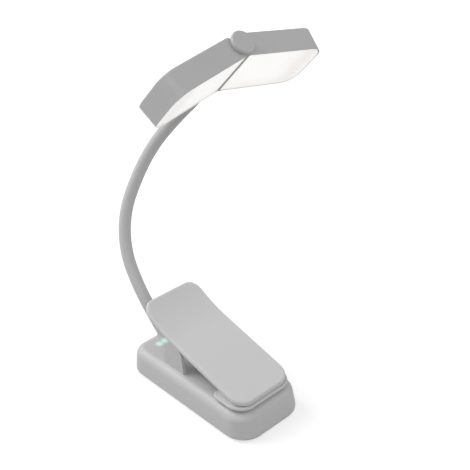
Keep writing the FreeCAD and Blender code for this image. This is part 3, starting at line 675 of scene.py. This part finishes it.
# Jaw pads: soft grey rubber pads with fine ribs across the grip, one let into the base and one
# glued under the jaw. They keep the clip from marking a page or a shelf.
jaw_rubber = skin_material("jaw rubber", (0.130, 0.130, 0.134), (0.095, 0.095, 0.098), 0.60, 0.80,
                           grains=2600)
for pad_node, pad_body, ribs_up in (("lower_jaw_pad", "base", True), ("upper_jaw_pad", "clip_lever", False)):
    make_ribbed_pad(pad_node, pad_body, corner=6.0 * millimetre, rib_pitch=2.0 * millimetre,
                    rib_height=0.3 * millimetre, ribs_up=ribs_up, finish=jaw_rubber)


# Flexible arm: a bendable metal core under a smooth grey silicone sleeve, gripped in the base's boss.
# Each sleeve length is swept along its own arc of the arm, and the arcs meet end to end in one smooth tube.
arm_root = Vector((0.0, 48.5, 15.5)) * millimetre
arm_root_rise = math.radians(42.0)
arm_step = 26.0 * millimetre
arm_fore_degrees = (3, 7, 16, 18, 14, 16, 12, 4)
arm_side_degrees = (1, 5, 13, 12, 1, 3, -5, -8)
sleeve_radius = 4.2 * millimetre
sleeve_wall = 1.2 * millimetre
sleeve_sides = 40
sleeve_rings = 26


def arm_lengths():
    """The points along each length of the arm, then the place, the direction and the side at its end."""
    point = arm_root
    ahead = Vector((0.0, math.cos(arm_root_rise), math.sin(arm_root_rise)))
    side = Vector((1.0, 0.0, 0.0))
    lengths = []
    for fore_bend, side_bend in zip(arm_fore_degrees, arm_side_degrees):
        axis = side * fore_bend + ahead.cross(side) * side_bend
        bend = math.radians(axis.length)
        axis.normalize()
        centre = point + axis.cross(ahead) * (arm_step / bend)
        lengths.append([centre + Quaternion(axis, bend * ring / sleeve_rings) @ (point - centre)
                        for ring in range(sleeve_rings + 1)])
        whole = Quaternion(axis, bend)
        point = centre + whole @ (point - centre)
        ahead = whole @ ahead
        side = whole @ side
    return lengths, point, ahead, side


arm, arm_end, arm_end_ahead, arm_end_side = arm_lengths()
sleeve_skin = skin_material("sleeve silicone", (0.492, 0.492, 0.494), (0.466, 0.466, 0.468), 0.50, 0.66,
                            grains=1600, relief=0.03 * millimetre)
core_metal = skin_material("core aluminium", (0.70, 0.70, 0.71), (0.60, 0.60, 0.62), 0.30, 0.46, metallic=1.0)
for number in range(len(arm) + 1):
    dress("arm_core_%d" % number, core_metal)
for number, path in enumerate(arm, start=1):
    tube = swept_piece("sleeve_%d" % number, path, sleeve_radius, sleeve_sides, False, sleeve_skin)
    thick = tube.modifiers.new("wall", "SOLIDIFY")
    thick.thickness = sleeve_wall
    thick.offset = -1.0
    sleeve = settled(tube, "arm_sleeve_%d_soft" % number)
    crisp_edges(sleeve)
    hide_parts("arm_sleeve_%d" % number)
    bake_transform(sleeve)


# Head spine and hinge cap: a turned steel shaft that carries on from the arm, with a collar on the
# sleeve's end, and the round plastic cap that closes the hinge on the near side.
head_finish = ((0.472, 0.472, 0.473), (0.448, 0.448, 0.450), 0.42, 0.55)
dress("head_spine", steel)
dress("hinge_cap", skin_material("head plastic", *head_finish))


# Wings: two moulded trays that fold on the spine. Each holds a lamp board with its lamps, a white
# reflector frame and an opal cover that lies in the tray's rim.
wing_length = 65.2 * millimetre
wing_width = 39.5 * millimetre
wing_thickness = 16.0 * millimetre
wing_droop = math.radians(9.7)
head_roll = math.radians(29.3)
head_gap = 3.0 * millimetre
last_lamps = 0.60 * wing_length
dimmest = 0.88 * wing_length
cover_end = 0.97 * wing_length
clouds_per_metre = 90.0
rim_top = wing_thickness / 2
lit_white = (1.0, 0.995, 0.98)
dim_white = (0.82, 0.775, 0.75)
rim_glow = (0.40, 0.39, 0.37)


def wing_light_group():
    """Shader group in a wing's own frame: where its cover is dimmer, and where light leaks on to its rim."""
    group, given, taken = new_group("ShaderNodeTree", "wing light", {"Position": "Vector"},
                                    {"Dimness": "Float", "Leak": "Float"})
    apart = group.nodes.new("ShaderNodeSeparateXYZ")
    group.links.new(given["Position"], apart.inputs["Vector"])
    out = maths(group, "ABSOLUTE", apart.outputs["X"])
    along = apart.outputs["Y"]
    past_lamps = ramp(group, out, last_lamps, dimmest, 0.0, 1.0)
    to_rim = ramp(group, out, dimmest, cover_end, 1.0, 0.30)
    far_edge = ramp(group, along, 0.05 * wing_width, 0.35 * wing_width, 0.45, 0.0)
    dim = maths(group, "MAXIMUM", maths(group, "MULTIPLY", past_lamps, to_rim), far_edge)
    cloud = group.nodes.new("ShaderNodeTexNoise")
    cloud.inputs["Scale"].default_value = clouds_per_metre
    group.links.new(given["Position"], cloud.inputs["Vector"])
    faint_cloud = ramp(group, cloud.outputs["Fac"], 0.0, 1.0, -0.06, 0.10)
    group.links.new(maths(group, "ADD", dim, faint_cloud), taken["Dimness"])
    on_rim = ramp(group, apart.outputs["Z"], rim_top - 0.5 * millimetre, rim_top - 0.05 * millimetre,
                  0.0, 1.0)
    past_hinge = ramp(group, out, 3.8 * millimetre, 4.2 * millimetre, 0.0, 1.0)
    from_cap = ramp(group, along, 0.70 * wing_width, 0.92 * wing_width, 1.0, 0.0)
    leak = maths(group, "MULTIPLY", maths(group, "MULTIPLY", on_rim, past_hinge), from_cap)
    group.links.new(leak, taken["Leak"])
    return group


wing_light = wing_light_group()


def wing_mask(tree, to_wing, mask):
    """One of the wing light's masks, with places turned into the wing's own frame."""
    place = tree.nodes.new("ShaderNodeTexCoord")
    turn = tree.nodes.new("ShaderNodeMapping")
    location, rotation, _ = to_wing.decompose()
    turn.inputs["Location"].default_value = location
    turn.inputs["Rotation"].default_value = rotation.to_euler("XYZ")
    masks = tree.nodes.new("ShaderNodeGroup")
    masks.node_tree = wing_light
    tree.links.new(place.outputs["Object"], turn.inputs["Vector"])
    tree.links.new(turn.outputs["Vector"], masks.inputs["Position"])
    return masks.outputs[mask]


def opal_material(name, to_wing, level):
    """Lit opal plastic: white over its lamps, dimmer and warmer past the last lamps and at the far edge."""
    material, tree, shader = new_material(name)
    shader.inputs["Base Color"].default_value = (0.66, 0.655, 0.645, 1)
    shader.inputs["Specular IOR Level"].default_value = 0.25
    shader.inputs["Roughness"].default_value = 0.35
    shader.inputs["Emission Strength"].default_value = level
    glow = mix_colours(tree, wing_mask(tree, to_wing, "Dimness"), lit_white, dim_white)
    tree.links.new(glow, shader.inputs["Emission Color"])
    return material


head_x = Quaternion(arm_end_ahead, head_roll) @ arm_end_side
head_z = head_x.cross(arm_end_ahead)
head_turn = Matrix((head_x, arm_end_ahead, head_z)).transposed().to_4x4()
head_place = Matrix.Translation(arm_end + arm_end_ahead * head_gap) @ head_turn
white_frame = skin_material("reflector white", (0.86, 0.86, 0.85), (0.80, 0.80, 0.79), 0.30, 0.42)
for side, hand, cover_level in (("right", 1, 0.55), ("left", -1, 0.45)):
    to_wing = (head_place @ Matrix.Rotation(-hand * wing_droop, 4, "Y")).inverted()
    housing = skin_material(side + " housing plastic", *head_finish)
    let_glow(housing, wing_mask(housing.node_tree, to_wing, "Leak"), rim_glow)
    dress(side + "_wing_housing", housing)
    dress(side + "_wing_led_board", board_mask)
    dress(side + "_wing_leds", phosphor)
    dress(side + "_wing_reflector", white_frame)
    dress(side + "_wing_diffuser", opal_material(side + " opal", to_wing, cover_level))


# Stage: a plain pale floor, soft light from all round with three broad lamps, one high behind
# and two in front, and the camera at the photograph's viewing angle.
white = (1, 1, 1, 1)
soft_light_level = 0.30
white_wall_level = 1.0
floor_reach = 3.0
floor_drop = 0.2 * millimetre
floor_near = 0.25
floor_far = 1.10
floor_near_level = 0.58
lamp_target = Vector((0.0, 0.0, 0.05))
lamp_size = 0.9
camera_pitch = math.radians(30.4369)
camera_heading = math.radians(44.2575)


def seen_share(tree):
    """1 for rays that show the backdrop by itself: to the camera, in a reflection or through glass."""
    path = tree.nodes.new("ShaderNodeLightPath")
    direct = maths(tree, "MAXIMUM", path.outputs["Is Camera Ray"], path.outputs["Is Glossy Ray"])
    return maths(tree, "MAXIMUM", direct, path.outputs["Is Transmission Ray"])


scene = bpy.context.scene
scene.view_settings.view_transform = "Standard"
world = bpy.data.worlds.new("studio")
scene.world = world
world.use_nodes = True
sky = world.node_tree
sky.nodes.clear()
either = sky.nodes.new("ShaderNodeMixShader")
sky.links.new(seen_share(sky), either.inputs["Fac"])
for socket, level in ((either.inputs[1], soft_light_level), (either.inputs[2], white_wall_level)):
    light = sky.nodes.new("ShaderNodeBackground")
    light.inputs["Color"].default_value = white
    light.inputs["Strength"].default_value = level
    sky.links.new(light.outputs["Background"], socket)
sky_out = sky.nodes.new("ShaderNodeOutputWorld")
sky.links.new(either.outputs["Shader"], sky_out.inputs["Surface"])

pale_floor, floor_tree, floor_shader = new_material("pale floor")
floor_shader.inputs["Base Color"].default_value = (0.50, 0.50, 0.50, 1)
floor_shader.inputs["Roughness"].default_value = 0.9
floor_shader.inputs["Emission Color"].default_value = white
floor_place = floor_tree.nodes.new("ShaderNodeTexCoord")
from_middle = floor_tree.nodes.new("ShaderNodeVectorMath")
from_middle.operation = "LENGTH"
floor_tree.links.new(floor_place.outputs["Object"], from_middle.inputs[0])
floor_level = ramp(floor_tree, from_middle.outputs["Value"], floor_near, floor_far, floor_near_level, 1.0)
floor_lift = maths(floor_tree, "MULTIPLY", seen_share(floor_tree), floor_level)
floor_tree.links.new(floor_lift, floor_shader.inputs["Emission Strength"])
floor_shape = bmesh.new()
bmesh.ops.create_grid(floor_shape, x_segments=1, y_segments=1, size=floor_reach)
floor = mesh_object("floor", floor_shape)
floor.data.transform(Matrix.Translation((0, 0, -floor_drop)))
floor.data.materials.append(pale_floor)


def broad_lamp(name, place, power):
    """A large soft studio light that looks at the reading lamp's base."""
    lamp = bpy.data.lights.new(name, "AREA")
    lamp.shape = "DISK"
    lamp.size = lamp_size
    lamp.energy = power
    made = link_object(name, lamp)
    made.location = place
    made.rotation_euler = (lamp_target - Vector(place)).to_track_quat("-Z", "Y").to_euler()


broad_lamp("rear_lamp", (-0.42, 0.85, 0.95), 12.6)
broad_lamp("fill_lamp", (-0.75, -0.85, 0.80), 5.6)
broad_lamp("right_lamp", (0.95, -0.70, 0.80), 3.7)

camera_data = bpy.data.cameras.new("camera")
camera_data.sensor_width = 36.0
camera_data.lens = 69.217
camera = link_object("camera", camera_data)
camera.location = (-0.313183, -0.340450, 0.387461)
camera.rotation_euler = (math.pi / 2 - camera_pitch, 0.0, -camera_heading)
scene.camera = camera
